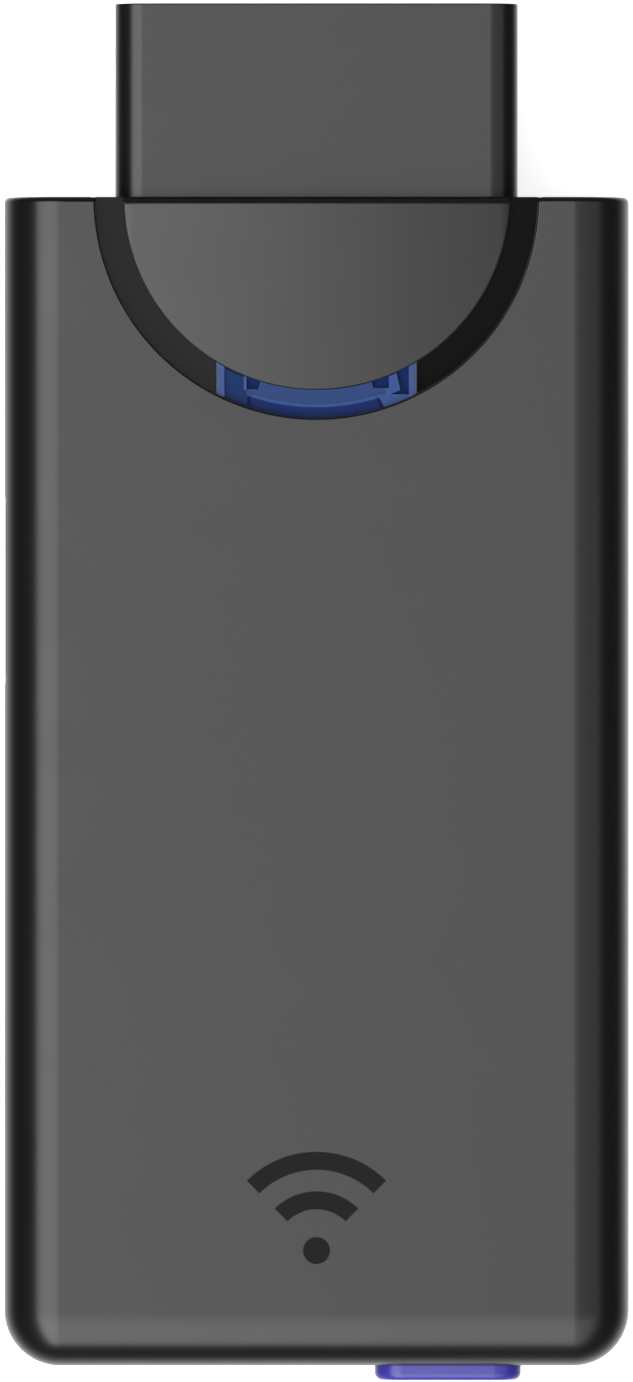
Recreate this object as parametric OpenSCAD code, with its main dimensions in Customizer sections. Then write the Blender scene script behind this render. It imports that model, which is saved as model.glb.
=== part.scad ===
// Plug-in wireless receiver: a two-shell case with a nine-way plug at the front,
// a half-round thumb pad with a status light, a side port and a pairing button.
// It lies on its base: +Z is up, +Y points out of the plug, the origin is under its middle.

/* [Case] */
// Width of the case
case_w = 38; // [31:0.1:46]
// Length of the case without the plug
case_l = 71.1; // [58:0.1:86]
// Thickness of the case from base to face
case_h = 12; // [10:0.1:15]
// Thickness of the shell walls
wall = 1.5; // [1.2:0.05:1.9]
// Radius of the long top edges, the rear edge and the rear corners
edge_r = 3.4; // [2.8:0.1:4]
// Radius of the edges round the base
base_r = 2.2; // [1.9:0.1:3]

/* [Plug] */
// Width of the plug
plug_w = 24.5; // [20:0.1:30]
// Length of the plug in front of the case
plug_l = 11.8; // [9.8:0.1:14.2]
// Thickness of the plug
plug_h = 8; // [6.6:0.1:9.6]
// Radius of the plug's long top edges
plug_edge_r = 1.7; // [0.8:0.1:2.2]
// Depth of the step from the plug to the neck that the case grips
neck_step = 1; // [0.6:0.1:1.3]
// Distance from the plug's side to its outermost contact
contact_margin = 2.95; // [2.4:0.05:3.4]
// Extra room between two groups of three contacts
group_gap = 0.5; // [0:0.1:1]
// Radius of the holes in the plug's front
contact_hole_r = 0.8; // [0.7:0.05:0.9]
// Bore radius of each contact tube
contact_bore_r = 0.5; // [0.4:0.05:0.6]

/* [Thumb pad and status light] */
// Radius of the half-round thumb pad
pad_r = 11.68; // [9.7:0.01:12.6]
// Width of the ring groove round the pad
groove_w = 1.8; // [1.5:0.1:2.2]
// Depth of the pocket that holds the pad and the ring
pad_depth = 1.2; // [1:0.05:1.4]
// Rise of the pad's crown over its side edges
pad_rise = 0.33; // [0.1:0.01:0.6]
// Depth of the ring's surface below the face
trim_depth = 0.8; // [0.5:0.05:0.9]
// Half width of the status light
light_half_w = 6.07; // [5:0.01:7.3]
// Depth of the light's surface below the face
light_depth = 0.25; // [0.1:0.05:0.5]

/* [Side port] */
// Distance from the case front to the port's middle
port_from_front = 23.9; // [20:0.1:26]
// Length of the recess round the port
port_recess_w = 12.2; // [10.2:0.1:14]
// Height of the recess round the port
port_recess_h = 5.6; // [4.6:0.1:7]
// Depth of the recess round the port
port_recess_depth = 0.7; // [0.5:0.05:0.8]
// Width of the socket shell
usb_w = 7.5; // [7.4:0.1:7.6]
// Height of the socket shell
usb_h = 2.6; // [2.5:0.05:2.8]
// Length of the socket shell
usb_l = 5; // [4.8:0.1:5.6]

/* [Pairing button] */
// Distance from the case's middle to the button's middle
button_x = 8; // [5:0.1:9]
// Width of the button
button_w = 8.9; // [7.4:0.1:10.7]
// Height of the button
button_h = 3.4; // [2.8:0.1:3.6]
// Height of the button over the rear of the case
button_proud = 0.9; // [0.5:0.05:1.5]
// How far the button travels
button_travel = 0.3; // [0.15:0.05:0.35]

/* [Board] */
// Thickness of the circuit board
board_t = 1; // [0.8:0.1:1.2]
// Drop from the contact row to the board's upper side
contact_drop = 0.6; // [0.5:0.05:0.7]
// Radius of the screws' thread
screw_r = 0.85; // [0.8:0.05:1]

/* [Mark and label] */
// Distance from the rear of the case to the mark's middle
mark_from_rear = 10.1; // [9:0.1:14]
// Radius of the mark's outer arc
mark_r = 6; // [5:0.1:7]
// Width of the mark's strokes
mark_stroke = 1.1; // [0.8:0.1:1.3]
// Width of the label in the base
label_w = 24; // [18:0.5:26]
// Length of the label in the base
label_l = 34; // [26:0.5:38]

/* [Fit] */
// Gap between pieces that are fitted together
fit = 0.1; // [0.05:0.01:0.15]
// Gap round the moving button
button_gap = 0.15; // [0.1:0.01:0.2]
// Gap between the button's stop and the wall, and between stem and plunger
stop_gap = 0.03; // [0.02:0.01:0.05]

/* [Hidden] */
$fn = 64;
fine = 180;
over = 0.5; // how far a cut runs past a face

// Case
half_w = case_w / 2;
rear_y = -(case_l + plug_l + button_proud) / 2 + button_proud;
front_y = rear_y + case_l;
split_z = case_h / 2;
tongue_t = 0.8;
tongue_l = 5;
tongue_drop = 2.2;
bead = 0.3;
bead_h = 0.7;
tongue_spots = [front_y - 9, rear_y + 15];

// Plug
plug_front = front_y + plug_l;
plug_z = case_h / 2;
neck_w = plug_w - 2 * neck_step;
neck_h = plug_h - 2 * neck_step;
flange_t = 1.2;
flange_y = front_y - wall - fit;
housing_rear = flange_y - flange_t;
pocket_front = plug_front - 4.5;
pocket_margin = 1.3;
pocket_h = 4;
contact_span = plug_w - 2 * contact_margin;
contact_pitch = (contact_span - 2 * group_gap) / 8;
contact_wall = 0.2;
contact_r = contact_bore_r + contact_wall;
carrier_rear = housing_rear - 0.8;
tube_front = plug_front - 0.6;
tail_w = 0.6;
tail_t = 0.3;
tail_l = 2.6;

// Thumb pad and status light
groove_r = pad_r + groove_w;
pocket_floor = case_h - pad_depth;
floor_t = 1;
peg_r = 0.9;
peg_spots = [-4.5, 4.5];
peg_from_front = 4;
light_mid_r = pad_r + groove_w / 2;
light_leg_inset = 0.35;

// Board and what stands on it
board_top = plug_z - contact_drop;
board_bottom = board_top - board_t;
board_w = case_w - 2 * (wall + fit + tongue_t + 0.4);
board_half = board_w / 2;
board_front = carrier_rear - 0.3;
board_rear = rear_y + wall + 1.6;
boss_r = 1.9;
screw_head_r = 1.6;
screw_head_h = 0.8;
screw_l = 3.2;
pilot_r = screw_r - 0.08;
screw_spots = [[board_half - 3, front_y - 20], [3 - board_half, rear_y + 14]];
rest_spots = [[3 - board_half, front_y - 11], [board_half - 3, rear_y + 14]];
led_h = 0.6;
led_gap = 0.3;
led_spots = [-3.6, 0, 3.6];

// Side port
port_y = front_y - port_from_front;
port_z = board_top + usb_h / 2;
usb_mouth_x = -half_w + port_recess_depth + 0.05;
usb_sheet = 0.25;

// Pairing button and switch
switch_w = 6;
switch_h = 2.8;
switch_l = 3.2;
switch_front = board_rear + 1.2;
cover_t = 0.2;
plunger_w = 2.4;
plunger_h = 1.2;
plunger_proud = 0.9;
plunger_l = 2.3;
button_z = board_top + switch_h / 2;
button_corner = button_h / 2 - 0.05;
stop_t = 0.8;
stop_ear = 0.7;
stop_y = rear_y + wall + stop_gap;
plunger_tip = switch_front - cover_t - plunger_proud;

// Mark and label
mark_y = rear_y + mark_from_rear;
mark_t = 0.2;
mark_fan = 45;
label_t = 0.15;
label_y = (rear_y + front_y) / 2;

// Quarter of the case's edge: flat below and above, rounded to the outside at both ends
module edge_profile(r_top, r_base, h) {
    translate([0, r_base]) square([r_top, h - r_top - r_base]);
    square([r_top - r_base, h / 2]);
    translate([r_top - r_base, r_base]) circle(r_base);
    translate([0, h - r_top]) intersection() {
        circle(r_top);
        square(r_top);
    }
    translate([0, r_base]) square([r_top - r_base, h / 2 - r_base]);
}

module cross_section(w, r_top, r_base, h) {
    translate([r_top - w / 2, 0]) square([w - 2 * r_top, h]);
    for (side = [0, 1]) mirror([side, 0]) translate([w / 2 - r_top, 0])
        edge_profile(r_top, r_base, h);
}

// The same edge seen from the side: flat in front, rounded at the rear, with X as the way back
module side_section(front, rear, r_top, r_base, h) {
    translate([-front, 0]) square([front - rear - r_top, h]);
    translate([-rear - r_top, 0]) edge_profile(r_top, r_base, h);
}

module plan_section(w, rear, front, r) {
    translate([-w / 2, rear + r]) square([w, front - rear - r]);
    translate([r - w / 2, rear]) square([w - 2 * r, r + over]);
    for (side = [-1, 1]) translate([side * (w / 2 - r), rear + r]) circle(r);
}

// Block with rounded long edges, rounded rear and rear corners, and a flat front
module rounded_block(w, rear, front, r_top, r_base, h) {
    intersection() {
        translate([0, front, 0]) rotate([90, 0, 0])
            linear_extrude(front - rear) cross_section(w, r_top, r_base, h);
        translate([w, 0, 0]) rotate([90, 0, -90])
            linear_extrude(2 * w) side_section(front, rear, r_top, r_base, h);
        linear_extrude(h) plan_section(w, rear, front, r_top);
    }
}

module case_solid() {
    rounded_block(case_w, rear_y, front_y, edge_r, base_r, case_h);
}

module case_cavity() {
    translate([0, 0, wall])
        rounded_block(case_w - 2 * wall, rear_y + wall, front_y - wall,
            edge_r - wall, base_r - wall, case_h - 2 * wall);
}

// Everything over or under the parting line
module half_space(upper) {
    translate([-case_w, rear_y - over, upper ? split_z : split_z - case_h])
        cube([2 * case_w, case_l + 2 * over, case_h]);
}

module shell_half(upper) {
    intersection() {
        difference() {
            case_solid();
            case_cavity();
        }
        half_space(upper);
    }
}

// Rectangle with rounded corners, standing on the case's rear or front
module rounded_plate(w, h, r, y0, y1) {
    translate([0, y1, 0]) rotate([90, 0, 0]) linear_extrude(y1 - y0) {
        square([w - 2 * r, h], center = true);
        square([w, h - 2 * r], center = true);
        for (sx = [-1, 1], sz = [-1, 1])
            translate([sx * (w / 2 - r), sz * (h / 2 - r)]) circle(r);
    }
}

// Hole in the front that grips the plug's neck
module neck_hole() {
    translate([-neck_w / 2 - fit, front_y - wall - over, plug_z - neck_h / 2 - fit])
        cube([neck_w + 2 * fit, wall + 2 * over, neck_h + 2 * fit]);
}

// Recess in the side wall and the socket's way through it
module port_hole() {
    translate([-half_w - over, port_y - port_recess_w / 2, port_z - port_recess_h / 2])
        cube([port_recess_depth + over, port_recess_w, port_recess_h]);
    translate([-half_w - over, port_y - usb_w / 2 - fit, port_z - usb_h / 2 - fit])
        cube([wall + 2 * over, usb_w + 2 * fit, usb_h + 2 * fit]);
}

module button_hole() {
    translate([button_x, 0, button_z])
        rounded_plate(button_w + 2 * button_gap, button_h + 2 * button_gap,
            button_corner + button_gap, rear_y - over, rear_y + wall + over);
}

// Half disc round the middle of the case's front edge
module half_disc(r, z0, z1, front = front_y) {
    intersection() {
        translate([0, front_y, z0]) cylinder(h = z1 - z0, r = r, $fn = fine);
        translate([-r - over, front_y - r - over, z0 - over])
            cube([2 * (r + over), front - front_y + r + over, z1 - z0 + 2 * over]);
    }
}

// Part of the ring round the pad that lies within a half width of the middle
module ring_sector(r_in, r_out, half_width, z0, z1) {
    intersection() {
        difference() {
            translate([0, front_y, z0]) cylinder(h = z1 - z0, r = r_out, $fn = fine);
            translate([0, front_y, z0 - over])
                cylinder(h = z1 - z0 + 2 * over, r = r_in, $fn = fine);
        }
        translate([-half_width, front_y - r_out - over, z0 - over])
            cube([2 * half_width, r_out, z1 - z0 + 2 * over]);
    }
}

// Snap tongues that reach down inside the bottom shell, each with a bead
module snap_tongues() {
    inner = half_w - wall;
    for (side = [0, 1], y = tongue_spots) mirror([side, 0, 0]) {
        translate([inner - fit - tongue_t, y - tongue_l / 2, split_z - tongue_drop])
            cube([tongue_t, tongue_l, tongue_drop + 2]);
        translate([inner - fit - tongue_t, y - tongue_l / 2, split_z])
            cube([tongue_t + fit + 0.2, tongue_l, 2]);
        translate([inner - fit - 0.1, y - tongue_l / 2, split_z - tongue_drop])
            cube([bead + 0.1, tongue_l, bead_h]);
    }
}

module snap_pockets() {
    for (side = [0, 1], y = tongue_spots) mirror([side, 0, 0])
        translate([half_w - wall - over, y - tongue_l / 2 - fit, split_z - tongue_drop - fit])
            cube([over + bead, tongue_l + 2 * fit, bead_h + 2 * fit]);
}

// Dot and two arcs, fanning out towards the plug
module mark_shape(grow, z0, z1) {
    translate([0, mark_y - mark_r / 2, z0]) {
        cylinder(h = z1 - z0, r = mark_stroke * 0.75 + grow);
        for (r = [mark_r * 0.6, mark_r]) rotate([0, 0, 90 - mark_fan])
            rotate_extrude(angle = 2 * mark_fan, $fn = fine)
                translate([r - mark_stroke - grow, 0]) square([mark_stroke + 2 * grow, z1 - z0]);
    }
}

module top_shell() {
    color("#3b3b3d") difference() {
        union() {
            shell_half(true);
            half_disc(groove_r + wall, pocket_floor - floor_t, pocket_floor + 0.2,
                front_y - wall / 2);
            snap_tongues();
        }
        half_disc(groove_r, pocket_floor, case_h + over, front_y + over);
        ring_sector(pad_r + light_leg_inset, groove_r - light_leg_inset,
            light_half_w - light_leg_inset, pocket_floor - floor_t - over, pocket_floor + over);
        for (x = peg_spots) translate([x, front_y - peg_from_front, pocket_floor - floor_t - over])
            cylinder(h = floor_t + 2 * over, r = peg_r + fit / 2);
        neck_hole();
        port_hole();
        button_hole();
        mark_shape(0, case_h - mark_t, case_h + over);
    }
}

module bottom_shell() {
    color("#343436") difference() {
        union() {
            shell_half(false);
            for (p = concat(screw_spots, rest_spots)) translate([p[0], p[1], wall - 0.2])
                cylinder(h = board_bottom - wall + 0.2, r = boss_r);
        }
        for (p = screw_spots) translate([p[0], p[1], wall / 2])
            cylinder(h = board_bottom, r = pilot_r);
        neck_hole();
        port_hole();
        button_hole();
        snap_pockets();
        translate([-label_w / 2, label_y - label_l / 2, -over])
            cube([label_w, label_l, label_t + over]);
    }
}

// Height of the pad's crown at a distance from its middle line
function crown_z(x) = case_h - pad_rise * x * x / (pad_r * pad_r);

// Crowned half disc on two pegs
module thumb_pad() {
    steps = 12;
    arc = [for (i = [-steps:steps]) let (x = i * pad_r / steps) [x, crown_z(x)]];
    color("#454547") {
        intersection() {
            half_disc(pad_r, pocket_floor, case_h + over);
            translate([0, front_y + over, 0]) rotate([90, 0, 0]) linear_extrude(pad_r + 2 * over)
                polygon(concat([[-pad_r, pocket_floor]], arc, [[pad_r, pocket_floor]]));
        }
        for (x = peg_spots) translate([x, front_y - peg_from_front, pocket_floor - floor_t])
            cylinder(h = floor_t + 0.2, r = peg_r);
    }
}

// Gloss ring on the pocket's floor, open where the light comes up
module arc_trim() {
    color("#0c0c0d") difference() {
        half_disc(groove_r - fit / 2, pocket_floor, case_h - trim_depth, front_y);
        translate([0, front_y, pocket_floor - over])
            cylinder(h = pad_depth + 2 * over, r = pad_r + fit / 2, $fn = fine);
        translate([-light_half_w - fit / 2, front_y - groove_r - over, pocket_floor - over])
            cube([2 * light_half_w + fit, groove_r - peg_from_front, pad_depth + 2 * over]);
    }
}

// Clear blue bar in the groove, with a leg that reaches down to the lamps
module light_guide() {
    leg = light_leg_inset + fit / 2;
    color("#2f4fa0", 0.85) {
        ring_sector(pad_r + fit / 2, groove_r - fit / 2, light_half_w, pocket_floor,
            case_h - light_depth);
        ring_sector(pad_r + leg, groove_r - leg, light_half_w - leg,
            board_top + led_h + led_gap, pocket_floor);
    }
}

module wireless_mark() {
    color("#1d1d1e") mark_shape(-0.02, case_h - mark_t, case_h - 0.02);
}

function contact_x(i) =
    (i - 4) * contact_pitch + (i < 3 ? -group_gap : i > 5 ? group_gap : 0);

// Moulded plug: the block in front, a neck in the case's wall and a flange behind it
module plug_housing() {
    flange_top = pocket_floor - floor_t - fit;
    flange_bottom = wall + fit;
    color("#39393b") difference() {
        union() {
            translate([0, plug_front, plug_z - plug_h / 2]) rotate([90, 0, 0])
                linear_extrude(plug_l)
                    cross_section(plug_w, plug_edge_r, plug_edge_r / 2, plug_h);
            translate([-neck_w / 2, housing_rear, plug_z - neck_h / 2])
                cube([neck_w, front_y - housing_rear + over, min(neck_h, flange_top - plug_z + neck_h / 2)]);
            translate([-plug_w / 2, housing_rear, flange_bottom])
                cube([plug_w, flange_t, flange_top - flange_bottom]);
        }
        translate([-contact_span / 2 - pocket_margin, housing_rear - over, plug_z - pocket_h / 2])
            cube([contact_span + 2 * pocket_margin, pocket_front - housing_rear + over, pocket_h]);
        for (i = [0:8]) translate([contact_x(i), plug_front + over, plug_z]) rotate([90, 0, 0])
            cylinder(h = plug_front - pocket_front + 2 * over, r = contact_hole_r);
    }
}

// Insulating block that lines up the contacts
module contact_carrier() {
    w = contact_span + 2 * (pocket_margin - fit);
    h = pocket_h - 2 * fit;
    color("#161617") difference() {
        translate([-w / 2, carrier_rear, plug_z - h / 2])
            cube([w, pocket_front - fit - carrier_rear, h]);
        for (i = [0:8]) translate([contact_x(i), plug_front, plug_z]) rotate([90, 0, 0])
            cylinder(h = plug_front - carrier_rear + over, r = contact_r + fit / 2);
        translate([-w / 2 - over, carrier_rear - over, plug_z - h / 2 - over])
            cube([w + 2 * over, over + tail_t + fit, h / 2 + over]);
    }
}

// Nine split tubes with tails that lie on the board
module plug_contacts() {
    barrel = 1;
    color("#c9a24a") for (i = [0:8]) translate([contact_x(i), 0, 0]) {
        difference() {
            translate([0, tube_front, plug_z]) rotate([90, 0, 0])
                cylinder(h = tube_front - carrier_rear, r = contact_r);
            translate([0, tube_front + over, plug_z]) rotate([90, 0, 0])
                cylinder(h = tube_front + over - carrier_rear - barrel, r = contact_bore_r);
        }
        translate([-tail_w / 2, board_front - tail_l, board_top])
            cube([tail_w, carrier_rear - board_front + tail_l + 0.2, tail_t]);
        translate([-tail_w / 2, carrier_rear, board_top])
            cube([tail_w, tail_t, contact_drop]);
    }
}

module main_board() {
    color("#1f5b3a") difference() {
        translate([-board_half, board_rear, board_bottom])
            cube([board_w, board_front - board_rear, board_t]);
        for (p = screw_spots) translate([p[0], p[1], board_bottom - over])
            cylinder(h = board_t + 2 * over, r = screw_r + fit);
    }
}

// Two small self-tapping screws
module board_screws() {
    color("#b9bcc0") for (p = screw_spots) translate([p[0], p[1], board_top]) difference() {
        union() {
            cylinder(h = screw_head_h, r = screw_head_r);
            translate([0, 0, -min(screw_l, board_top - wall / 2 - fit)])
                cylinder(h = min(screw_l, board_top - wall / 2 - fit) + 0.1, r = screw_r);
        }
        for (turn = [0, 90]) rotate([0, 0, turn])
            translate([-0.8, -0.15, screw_head_h - 0.45]) cube([1.6, 0.3, 1]);
    }
}

// A block on the board, given by its middle and its size
module on_board(x, y, size) {
    translate([x - size[0] / 2, y - size[1] / 2, board_top]) cube(size);
}

module main_chip() {
    color("#151517") difference() {
        on_board(1, front_y - 27, [7, 7, 0.9]);
        translate([-1.6, front_y - 24.4, board_top + 0.8]) cylinder(h = 1, r = 0.35);
    }
    color("#c8cacc") for (turn = [0:3]) translate([1, front_y - 27, board_top])
        rotate([0, 0, 90 * turn]) for (i = [-3:3])
            translate([3.5, 0.8 * i - 0.15, 0]) cube([0.3, 0.3, 0.2]);
}

module memory_chip() {
    x = 9.4;
    y = front_y - 26;
    color("#171719") on_board(x, y, [3.9, 4.9, 1.2]);
    color("#c8cacc") for (side = [-1, 1], i = [0:3])
        translate([x + side * 2.35 - 0.4, y - 1.905 + 1.27 * i - 0.2, board_top]) cube([0.8, 0.4, 0.3]);
}

module crystal() {
    color("#c4c6c9") {
        on_board(-5.4, front_y - 28.5, [2.2, 2.8, 0.4]);
        on_board(-5.4, front_y - 28.5, [1.9, 2.5, 0.7]);
    }
}

// Pressed tin over the radio, open below, with vent holes
module radio_shield() {
    size = [13, 12, 1.8];
    x = -1;
    y = front_y - 39;
    sheet = 0.2;
    color("#aeb2b6") difference() {
        on_board(x, y, size);
        translate([x - size[0] / 2 + sheet, y - size[1] / 2 + sheet, board_top - over])
            cube([size[0] - 2 * sheet, size[1] - 2 * sheet, size[2] - sheet + over]);
        for (i = [-1, 0, 1]) translate([x + 3.2 * i, y, board_top])
            cylinder(h = 3, r = 0.5);
    }
}

module voltage_regulator() {
    x = 5 - board_half;
    y = front_y - 31;
    color("#18181a") on_board(x, y, [1.6, 2.9, 1.1]);
    color("#c8cacc") {
        for (i = [-1, 0, 1])
            translate([x + 0.8, y + 0.95 * i - 0.2, board_top]) cube([0.5, 0.4, 0.3]);
        for (i = [-1, 1])
            translate([x - 1.3, y + 0.95 * i - 0.2, board_top]) cube([0.5, 0.4, 0.3]);
    }
}

// Chip capacitors and resistors, each on its own spot
module capacitors() {
    spots = [[5 - board_half, -35], [-5.4, -25], [-4.6, -22.6], [6.4, -22], [8.4, -22],
        [6.6, -31.5], [8.4, -31.5], [7.5, -36], [7.5, -39]];
    color("#b08a5a") for (p = spots) on_board(p[0], front_y + p[1], [0.8, 1.6, 0.8]);
}

module resistors() {
    spots = [[-3, -21.6], [-1, -21.6], [1, -21.6], [3, -21.6], [7.5, -42], [9.5, -42],
        [9.5, -39], [9.5, -36]];
    color("#232325") for (p = spots) on_board(p[0], front_y + p[1], [0.8, 1.6, 0.45]);
}

// Copper strip that folds back and forth along the board's rear edge
module antenna() {
    strip = 0.5;
    pitch = 1.3;
    tall = 3;
    runs = 6;
    x0 = 2 - board_half;
    y0 = board_rear + 0.6;
    color("#c07a45") translate([x0, y0, board_top]) {
        for (i = [0:runs]) translate([i * pitch, 0, 0]) cube([strip, tall, 0.1]);
        for (i = [0:runs - 1]) translate([i * pitch, i % 2 == 0 ? 0 : tall - strip, 0])
            cube([pitch + strip, strip, 0.1]);
    }
}

module status_leds() {
    color("#e8e6d8") for (x = led_spots)
        on_board(x, front_y - sqrt(light_mid_r * light_mid_r - x * x), [1.6, 0.8, led_h]);
}

// Outline of the socket: wider above, with cut corners below
module usb_outline(inset) {
    w = usb_w / 2 - inset;
    h = usb_h / 2 - inset;
    cut = 0.9;
    polygon([[-w, h], [w, h], [w, cut - h], [w - cut, -h], [cut - w, -h], [-w, cut - h]]);
}

// Places what is drawn in the socket's own outline, with its depth along +X from the mouth
module at_port(depth) {
    translate([usb_mouth_x + depth, port_y, port_z]) rotate([90, 0, 90]) children();
}

module usb_shell() {
    color("#b4b7bb") difference() {
        at_port(0) linear_extrude(usb_l) usb_outline(0);
        at_port(-over) linear_extrude(usb_l - usb_sheet + over) usb_outline(usb_sheet);
    }
}

module usb_tongue() {
    base = 1;
    color("#1b1b1d") {
        at_port(usb_l - usb_sheet - base) linear_extrude(base) usb_outline(usb_sheet + 0.05);
        at_port(0.6) linear_extrude(usb_l - usb_sheet - base - 0.5)
            translate([-1.85, 0.1]) square([3.7, 0.55]);
    }
}

module usb_contacts() {
    color("#c9a24a") for (i = [-2:2]) at_port(0.8)
        linear_extrude(2.6) translate([0.65 * i - 0.15, 0]) square([0.3, 0.1]);
}

module switch_body() {
    color("#1a1a1c") difference() {
        translate([button_x - switch_w / 2, switch_front, board_top])
            cube([switch_w, switch_l, switch_h]);
        translate([button_x - plunger_w / 2 - fit, switch_front - over, button_z - plunger_h / 2 - fit])
            cube([plunger_w + 2 * fit, over + plunger_l - plunger_proud - cover_t + button_travel + fit,
                plunger_h + 2 * fit]);
    }
}

// Pressed cover over the switch's front and top
module switch_cover() {
    color("#b9bcc0") difference() {
        translate([button_x - switch_w / 2, switch_front - cover_t, board_top])
            cube([switch_w, cover_t + switch_l - 0.4, switch_h + cover_t]);
        translate([button_x - switch_w / 2 - over, switch_front, board_top - over])
            cube([switch_w + 2 * over, switch_l + over, switch_h + over]);
        translate([button_x - plunger_w / 2 - fit, switch_front - 1, button_z - plunger_h / 2 - fit])
            cube([plunger_w + 2 * fit, 2, plunger_h + 2 * fit]);
    }
}

module switch_plunger() {
    color("#d9d6cc") translate([button_x, 0, button_z])
        rounded_plate(plunger_w, plunger_h, 0.2, plunger_tip, plunger_tip + plunger_l);
}

module switch_legs() {
    color("#c8cacc") for (side = [-1, 1], y = [0.3, 2.1])
        translate([button_x + side * (switch_w / 2 + 0.35) - 0.35, switch_front + y, board_top])
            cube([0.7, 0.8, 0.4]);
}

// Cap, a stop ear on each side inside the wall, and a stem that meets the plunger
module pair_button() {
    stem_w = 2.4;
    stem_h = 1.6;
    color("#5b4fb8") translate([button_x, 0, button_z]) {
        rounded_plate(button_w, button_h, button_corner, rear_y - button_proud, stop_y + 0.2);
        rounded_plate(button_w + 2 * stop_ear, button_h, button_corner, stop_y, stop_y + stop_t);
        translate([-stem_w / 2, stop_y, -stem_h / 2])
            cube([stem_w, plunger_tip - stop_gap - stop_y, stem_h]);
    }
}

module base_label() {
    color("#1e1e20") translate([fit - label_w / 2, label_y - label_l / 2 + fit, 0.02])
        cube([label_w - 2 * fit, label_l - 2 * fit, label_t - 0.02]);
}

top_shell();
bottom_shell();
thumb_pad();
arc_trim();
light_guide();
wireless_mark();
plug_housing();
contact_carrier();
plug_contacts();
main_board();
board_screws();
main_chip();
memory_chip();
crystal();
radio_shield();
voltage_regulator();
capacitors();
resistors();
antenna();
status_leds();
usb_shell();
usb_tongue();
usb_contacts();
switch_body();
switch_cover();
switch_plunger();
switch_legs();
pair_button();
base_label();
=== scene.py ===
import math
import bmesh
import bpy
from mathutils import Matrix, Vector


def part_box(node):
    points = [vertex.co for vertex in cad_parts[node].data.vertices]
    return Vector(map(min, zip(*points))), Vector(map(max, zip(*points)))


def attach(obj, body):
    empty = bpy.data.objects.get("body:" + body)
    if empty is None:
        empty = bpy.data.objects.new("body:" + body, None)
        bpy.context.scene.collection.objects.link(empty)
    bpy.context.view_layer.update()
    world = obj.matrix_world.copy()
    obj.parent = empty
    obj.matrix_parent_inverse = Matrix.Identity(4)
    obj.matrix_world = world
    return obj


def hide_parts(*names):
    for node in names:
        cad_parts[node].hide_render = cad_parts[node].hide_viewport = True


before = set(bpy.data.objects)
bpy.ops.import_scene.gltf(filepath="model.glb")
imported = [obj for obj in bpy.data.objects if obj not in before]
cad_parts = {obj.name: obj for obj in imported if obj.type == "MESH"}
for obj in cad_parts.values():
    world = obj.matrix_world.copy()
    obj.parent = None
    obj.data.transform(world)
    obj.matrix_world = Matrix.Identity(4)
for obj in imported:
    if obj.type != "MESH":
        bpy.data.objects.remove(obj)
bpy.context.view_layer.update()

mm = 0.001  # tools reach one past what they cut
tiny = 0.00001  # how close counts as the same place

# what every piece is placed from
caseLow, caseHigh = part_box("bottom_shell")
splitZ = caseHigh.z  # the two halves meet here
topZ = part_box("top_shell")[1].z
rearY = caseLow.y
frontY = caseHigh.y
halfW = caseHigh.x
plugLow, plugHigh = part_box("plug_housing")
buttonLow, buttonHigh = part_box("pair_button")
socketLow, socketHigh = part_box("usb_shell")
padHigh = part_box("thumb_pad")[1]
trimLow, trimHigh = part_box("arc_trim")
guideLow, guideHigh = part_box("light_guide")
runGap = 0.05 * mm  # clearance round the pieces that sit in the pocket
padR = padHigh.x
pocketFloor = trimLow.z
grooveR = trimHigh.x + runGap
middleZ = (topZ + caseLow.z) / 2


def selectNothing():
    for other in bpy.context.selected_objects:
        other.select_set(False)


def only(piece):
    selectNothing()
    bpy.context.view_layer.objects.active = piece
    piece.select_set(True)


def startEdit(piece):
    only(piece)
    bpy.ops.object.mode_set(mode="EDIT")
    bpy.ops.mesh.select_mode(type="EDGE")
    bpy.ops.mesh.select_all(action="DESELECT")


def endEdit():
    bpy.ops.object.mode_set(mode="OBJECT")


def named(name):
    piece = bpy.context.active_object
    piece.name = name
    piece.data.name = name
    bpy.ops.object.transform_apply(location=True, rotation=True, scale=True)
    return piece


def addBox(name, low, high):
    selectNothing()
    low, high = Vector(low), Vector(high)
    bpy.ops.mesh.primitive_cube_add(size=1, location=(low + high) / 2, scale=high - low)
    return named(name)


def addDrum(name, radius, start, end, sides=48):
    # a round bar from one point to another
    selectNothing()
    start, end = Vector(start), Vector(end)
    turn = (end - start).to_track_quat("Z", "Y").to_euler()
    bpy.ops.mesh.primitive_cylinder_add(
        vertices=sides, radius=radius, depth=(end - start).length,
        location=(start + end) / 2, rotation=turn)
    return named(name)


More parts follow.
